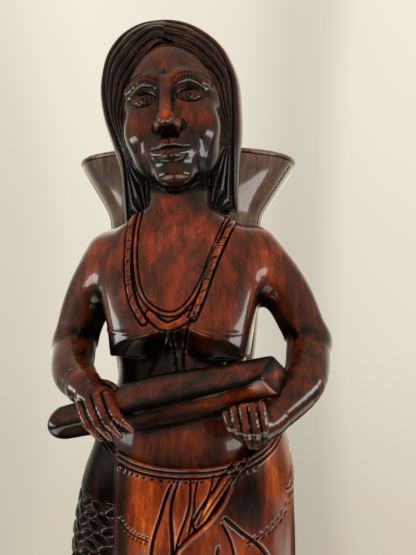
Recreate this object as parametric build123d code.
"""Carved hardwood figure of a standing woman with a carrying basket on her back.

The figure is one carved block.  The basket, the log in her hands and the oval plinth are separate
blocks, held to it by glued dowels and by two wood screws.  A felt sheet covers the underside.

Millimetres.  +Z is up, the figure faces -Y, and the origin is the middle of the felt's lower face.
"Right" and "left" are the figure's own: her right hand is on the -X side.
"""

import os

from build123d import *

# ---------------------------------------------------------------- driving dimensions
# heights, stacked from the ground up
felt_thickness = 3.0
plinth_height = 25.0
leg_height = 60.0  # soles to hem
skirt_height = 224.0  # hem to waist
torso_height = 158.0  # waist to the root of the neck
neck_height = 17.0  # root of the neck to the chin
head_height = 135.0  # chin to crown

# widths and depths of the carved block, as half sizes of an oval section
hip_half_width = 85.0
hip_half_depth = 59.0
shoulder_half_width = 66.0
chest_half_depth = 38.0
head_half_width = 54.0
head_half_depth = 38.0
face_half_width = 39.0
neck_radius = 25.0
head_lean = 5.0  # degrees, towards her right shoulder

# arms
shoulder_joint_x = 57.0
shoulder_drop = 28.0  # joint below the root of the neck
shoulder_radius = 23.0
elbow_half_span = 90.0
elbow_drop = 96.0  # elbow below the root of the neck
elbow_radius = 14.0
wrist_radius = 11.0
finger_radius = 3.2
finger_step = 5.3
finger_count = 4
right_palm_x = -38.0
left_palm_x = 48.0

# legs and feet
stance_half_width = 29.0
ankle_radius = 17.0
calf_radius = 24.0
foot_half_width = 22.0
foot_half_length = 42.0
foot_height = 24.0

# carrying basket
basket_height = 215.0
basket_offset_x = -8.0
rim_half_width = 105.0
rim_half_depth = 76.0
body_half_width = 73.0
body_half_depth = 50.0
basket_wall = 6.0
basket_seat = 1.0  # how much of its front is planed flat
basket_hollow_depth = 128.0
basket_foot_taper = 0.36  # how far the foot draws in, in shares of the rim's overhang
basket_flare_power = 9  # the higher, the shorter the flare below the rim

# log held in the hands
log_radius = 16.5
log_end_radius = 10.0
log_left_x = 66.0  # sawn end, her left
log_right_x = -75.0  # rounded end, her right
log_front_y = -62.0  # axis in front of the body's middle
log_slope = 0.245  # rise of the axis per unit of x
log_height_above_waist = 39.0  # axis at x = 0

# plinth and its felt
plinth_half_width = 92.0
plinth_half_depth = 80.0
plinth_centre_y = 10.0
plinth_chamfer = 4.0
felt_inset = 2.0

# fastenings
basket_dowel_radius = 4.0
basket_dowel_length = 30.0
basket_dowel_x = -4.0
basket_dowel_spacing = 40.0
basket_dowel_cover = 8.0  # wood between the upper dowel and the hollow
log_dowel_radius = 3.0
log_dowel_length = 32.0
screw_shank_radius = 2.5
screw_head_radius = 5.0
screw_head_height = 3.5
screw_bite = 32.0  # length of shank in the foot
screw_tip_length = 4.0

# clearances
glue_gap = 0.1  # between glued faces, and at a dowel's side
dowel_end_gap = 1.0
log_gap = 0.3

# ---------------------------------------------------------------- places that follow from them
plinth_top = felt_thickness + plinth_height
soles = plinth_top  # the feet stand on the plinth
hem = soles + leg_height
waist = hem + skirt_height
neck_root = waist + torso_height
chin = neck_root + neck_height
crown = chin + head_height
body_y = -3.0  # middle of the torso's oval
head_y = -8.0  # middle of the head's oval
back_plane = body_y + chest_half_depth - 2.0  # flat strip down her back, where the basket is glued
basket_bottom = waist + 6.0
basket_top = basket_bottom + basket_height
elbow_z = neck_root - elbow_drop
log_z = waist + log_height_above_waist
palm_radius = wrist_radius - 1.0
hold = log_radius + 0.4 * palm_radius  # palm's middle from the log's axis


# ---------------------------------------------------------------- small builders
def oval_stack(sections):
    """A smooth solid through level ovals, each (z, half width, half depth, centre x, centre y)."""
    return loft([Pos(x, y, z) * Ellipse(a, b) for z, a, b, x, y in sections])


def ellipsoid(centre, radii):
    return Pos(*centre) * scale(Sphere(1), by=radii)


def rod(start, end, radius_start, radius_end=None):
    """A round rod between two points, tapered if its end radius differs."""
    start, end = Vector(*start), Vector(*end)
    length = (end - start).length
    radius_end = radius_start if radius_end is None else radius_end
    if abs(radius_end - radius_start) < 1e-6:
        made = Cylinder(radius_start, length, align=(Align.CENTER, Align.CENTER, Align.MIN))
    else:
        made = Cone(radius_start, radius_end, length, align=(Align.CENTER, Align.CENTER, Align.MIN))
    return Plane(origin=start, z_dir=end - start) * made


def limb(points, radii):
    """Tapered rods end to end, with a ball at every point."""
    made = Pos(*points[0]) * Sphere(radii[0])
    for i in range(1, len(points)):
        made += rod(points[i - 1], points[i], radii[i - 1], radii[i])
        made += Pos(*points[i]) * Sphere(radii[i])
    return made


# ---------------------------------------------------------------- the log
def log_axis(x):
    """The log's middle at a given x."""
    return (x, log_front_y, log_z + log_slope * x)


# stations from the rounded end to the sawn end: share of the length, share from end to full radius
LOG_SHAPE = [
    (0.06, 0.00),
    (0.18, 0.08),
    (0.30, 0.70),
    (0.40, 1.00),
    (0.55, 1.00),
    (0.75, 0.55),
    (1.00, 0.00),
]


def log_blank(extra=0.0):
    """The log's solid, thicker by extra all round: the same shape cuts the room for it."""
    span = log_left_x - log_right_x
    direction = Vector(1, 0, log_slope).normalized()
    discs = []
    for share, fullness in LOG_SHAPE:
        x = log_right_x + share * span + (extra if share == 1.0 else 0.0)
        radius = log_end_radius + fullness * (log_radius - log_end_radius) + extra
        discs.append(Plane(origin=log_axis(x), z_dir=direction) * Circle(radius))
    nose = Pos(*log_axis(log_right_x + LOG_SHAPE[0][0] * span)) * Sphere(log_end_radius + extra)
    return loft(discs) + nose


# ---------------------------------------------------------------- the carved figure
# share of the skirt's height, share of the hips' half width and half depth
SKIRT_SHAPE = [
    (0.00, 0.86, 0.88),
    (0.18, 0.91, 0.93),
    (0.50, 1.00, 1.00),
    (0.75, 0.98, 0.99),
    (0.91, 0.90, 0.93),
    (1.00, 0.81, 0.84),
]
# share of the torso's height, share of the shoulders' half width and of the chest's half depth
TORSO_SHAPE = [
    (-0.10, 0.92, 1.18),
    (0.08, 0.84, 1.12),
    (0.28, 0.78, 1.02),
    (0.47, 0.84, 0.98),
    (0.65, 0.92, 0.98),
    (0.82, 0.97, 0.90),
    (0.93, 0.86, 0.74),
    (1.00, 0.62, 0.64),
    (1.06, 0.40, 0.56),
]
# share of the head's height, share of its half width and half depth
HAIR_SHAPE = [
    (-0.15, 0.84, 0.58),
    (0.08, 0.92, 0.76),
    (0.35, 1.00, 0.95),
    (0.62, 1.00, 1.00),
    (0.82, 0.80, 0.86),
    (0.95, 0.45, 0.55),
    (1.00, 0.12, 0.16),
]


def skirt():
    return oval_stack(
        [
            (hem + t * skirt_height, a * hip_half_width, b * hip_half_depth, 0, body_y)
            for t, a, b in SKIRT_SHAPE
        ]
    )


def torso():
    """Trunk with the belly, the breasts and a rounded yoke from shoulder to shoulder."""
    made = oval_stack(
        [
            (waist + t * torso_height, a * shoulder_half_width, b * chest_half_depth, 0, body_y)
            for t, a, b in TORSO_SHAPE
        ]
    )
    made += ellipsoid(
        (0, body_y - 0.5 * chest_half_depth, waist + 0.08 * torso_height),
        (0.72 * shoulder_half_width, 0.97 * chest_half_depth, 0.24 * torso_height),
    )
    for side in (-1, 1):
        made += ellipsoid(
            (
                side * 0.52 * shoulder_half_width,
                body_y - 0.45 * chest_half_depth,
                waist + 0.57 * torso_height,
            ),
            (0.43 * shoulder_half_width, 0.8 * chest_half_depth, 0.16 * torso_height),
        )
    joint_z = neck_root - shoulder_drop
    return made + limb(
        [
            (-shoulder_joint_x, body_y, joint_z),
            (0, body_y, joint_z + 0.5 * shoulder_radius),
            (shoulder_joint_x, body_y, joint_z),
        ],
        [shoulder_radius, shoulder_radius, shoulder_radius],
    )


def head():
    """Neck, head cloth and hair, and the face in its hollow, leaning on the chin."""
    hair = oval_stack(
        [
            (t * head_height, a * head_half_width, b * head_half_depth, 0, head_y)
            for t, a, b in HAIR_SHAPE
        ]
    )
    hollow = ellipsoid(
        (0, head_y - head_half_depth, 0.38 * head_height),
        (face_half_width + 2.0, 0.85 * head_half_depth, 0.56 * head_height),
    )
    face = ellipsoid(
        (0, head_y - 0.1 * head_half_depth, 0.42 * head_height),
        (face_half_width, 0.92 * head_half_depth, 0.44 * head_height),
    )
    nose = ellipsoid(
        (0, head_y - 0.9 * head_half_depth, 0.38 * head_height),
        (0.2 * face_half_width, 0.3 * head_half_depth, 0.13 * head_height),
    )
    leaning = Pos(0, 0, chin) * Rot(0, -head_lean, 0) * (hair - hollow + face + nose)
    neck = rod((0, body_y, neck_root - 12), (0, head_y, chin + 0.2 * head_height), neck_radius)
    return leaning + neck


def hand(knuckle, step, reach):
    """Fingers side by side: the first knuckle, the step to the next, and from knuckle to tip."""
    fingers = []
    for i in range(finger_count):
        root = knuckle + step * i
        fingers.append(limb([root, root + reach], [finger_radius, 0.88 * finger_radius]))
    return fingers


def arm(side, wrist, palm):
    """Shoulder to palm, bent at the elbow."""
    return limb(
        [
            (side * shoulder_joint_x, body_y, neck_root - shoulder_drop),
            (side * elbow_half_span, body_y, elbow_z),
            wrist,
            palm,
        ],
        [shoulder_radius, elbow_radius, wrist_radius, palm_radius],
    )


def right_arm():
    """Her right hand comes over the front of the log, fingers pointing down."""
    palm = Vector(*log_axis(right_palm_x)) + Vector(0, -0.7, 0.71) * hold
    knuckle = palm + Vector(-2.4 * finger_radius, -4.0, -2.0)
    made = arm(-1, palm + Vector(-12.0, 10.0, 6.0), palm)
    for finger in hand(knuckle, Vector(finger_step, 0, 0.6), Vector(10.5, -1.5, -22.0)):
        made += finger
    return made


def left_arm():
    """Her left arm passes behind the sawn end, and the hand holds the log up from below."""
    palm = Vector(*log_axis(left_palm_x)) + Vector(0, -0.1, -0.99) * (hold + 0.4 * palm_radius)
    knuckle = palm + Vector(-2.4 * finger_radius, -9.0, -7.0)
    made = arm(1, palm + Vector(13.0, 10.0, 0.0), palm)
    for finger in hand(knuckle, Vector(finger_step, 0, 0.8), Vector(0.6, -3.5, 19.0)):
        made += finger
    return made


def leg(side):
    """A plain shin and a bare foot, its sole flat on the plinth."""
    x = side * stance_half_width
    middle_y = -0.45 * foot_half_length
    shin = rod((x, 0, soles), (x, 0, hem + 8.0), ankle_radius, calf_radius)
    foot = ellipsoid((x, middle_y, soles), (foot_half_width, foot_half_length, foot_height))
    under = Pos(x, middle_y, soles) * Box(
        4 * foot_half_width,
        4 * foot_half_length,
        2 * foot_height,
        align=(Align.CENTER, Align.CENTER, Align.MAX),
    )
    return shin + (foot - under)


def figure():
    made = skirt() + torso() + head() + right_arm() + left_arm() + leg(-1) + leg(1)
    made -= Pos(0, back_plane, basket_bottom) * Box(
        4 * shoulder_half_width,
        4 * rim_half_depth,
        2 * basket_height,
        align=(Align.CENTER, Align.MIN, Align.MIN),
    )
    made -= log_blank(log_gap)
    made -= basket_dowels(glue_gap, dowel_end_gap)
    made -= log_dowel(glue_gap, dowel_end_gap)
    made -= foot_screws(glue_gap)
    return made


# ---------------------------------------------------------------- the basket
def basket_section(z, inset=0.0):
    """One oval of the basket at height z.  Its front side always lies on the same upright plane."""
    share = (z - basket_bottom) / basket_height
    flare = share**basket_flare_power - basket_foot_taper * (1 - share) ** 4
    a = body_half_width + flare * (rim_half_width - body_half_width)
    b = body_half_depth + flare * (rim_half_depth - body_half_depth)
    return (z, a - inset, b - inset, basket_offset_x, back_plane - basket_seat + b)


def levels(low, high, steps):
    return [low + (high - low) * i / steps for i in range(steps + 1)]


def basket():
    """Hollow above, solid in the foot, and flat where it is glued to her back."""
    floor = basket_top - basket_hollow_depth
    made = oval_stack([basket_section(z) for z in levels(basket_bottom, basket_top, 12)])
    made -= oval_stack([basket_section(z, basket_wall) for z in levels(floor, basket_top, 8)])
    made -= Pos(0, back_plane + glue_gap, basket_bottom - basket_height) * Box(
        6 * rim_half_width,
        4 * rim_half_depth,
        3 * basket_height,
        align=(Align.CENTER, Align.MAX, Align.MIN),
    )
    return made - basket_dowels(glue_gap, dowel_end_gap)


# ---------------------------------------------------------------- plinth and felt
def plinth():
    made = Pos(0, plinth_centre_y, felt_thickness) * extrude(
        Ellipse(plinth_half_width, plinth_half_depth), amount=plinth_height
    )
    made = chamfer(made.faces().sort_by(Axis.Z)[-1].edges(), plinth_chamfer)
    return made - foot_screws(glue_gap)


def felt_pad():
    return Pos(0, plinth_centre_y, 0) * extrude(
        Ellipse(plinth_half_width - felt_inset, plinth_half_depth - felt_inset),
        amount=felt_thickness,
    )


# ---------------------------------------------------------------- fastenings
def basket_dowels(extra=0.0, end=0.0):
    """Two dowels, one above the other, from her back into the basket's solid foot."""
    top = basket_top - basket_hollow_depth - basket_dowel_radius - basket_dowel_cover
    half = basket_dowel_length / 2 + end
    pins = []
    for z in (top, top - basket_dowel_spacing):
        front = (basket_dowel_x, back_plane - half, z)
        back = (basket_dowel_x, back_plane + half, z)
        pins.append(rod(front, back, basket_dowel_radius + extra))
    return Compound(pins)


def log_dowel(extra=0.0, end=0.0):
    """One dowel from the middle of the log back into the belly."""
    x, y, z = log_axis(0.0)
    front = (x, y - end, z)
    back = (x, y + log_dowel_length + end, z)
    return rod(front, back, log_dowel_radius + extra)


def foot_screws(extra=0.0):
    """Two countersunk wood screws, up through the plinth into the feet."""
    low = felt_thickness
    neck = low + screw_head_height + extra
    tip = soles + screw_bite + 2 * extra
    point = tip - screw_tip_length
    radius = screw_shank_radius + extra
    screws = []
    for x in (-stance_half_width, stance_half_width):
        countersink = rod((x, 0, low), (x, 0, neck), screw_head_radius + extra, radius)
        shank = rod((x, 0, low), (x, 0, point), radius)
        screws.append(countersink + shank + rod((x, 0, point), (x, 0, tip), radius, 0.15 * radius))
    return Compound(screws)


def carried_log():
    return log_blank() - log_dowel(glue_gap, dowel_end_gap)


# ---------------------------------------------------------------- write the nodes
NODES = {
    "figure": figure,
    "basket": basket,
    "carried_log": carried_log,
    "plinth": plinth,
    "felt_pad": felt_pad,
    "basket_dowels": basket_dowels,
    "log_dowel": log_dowel,
    "foot_screws": foot_screws,
}

if __name__ == "__main__":
    os.makedirs("parts", exist_ok=True)
    for name, build in NODES.items():
        export_step(build(), f"parts/{name}.step")
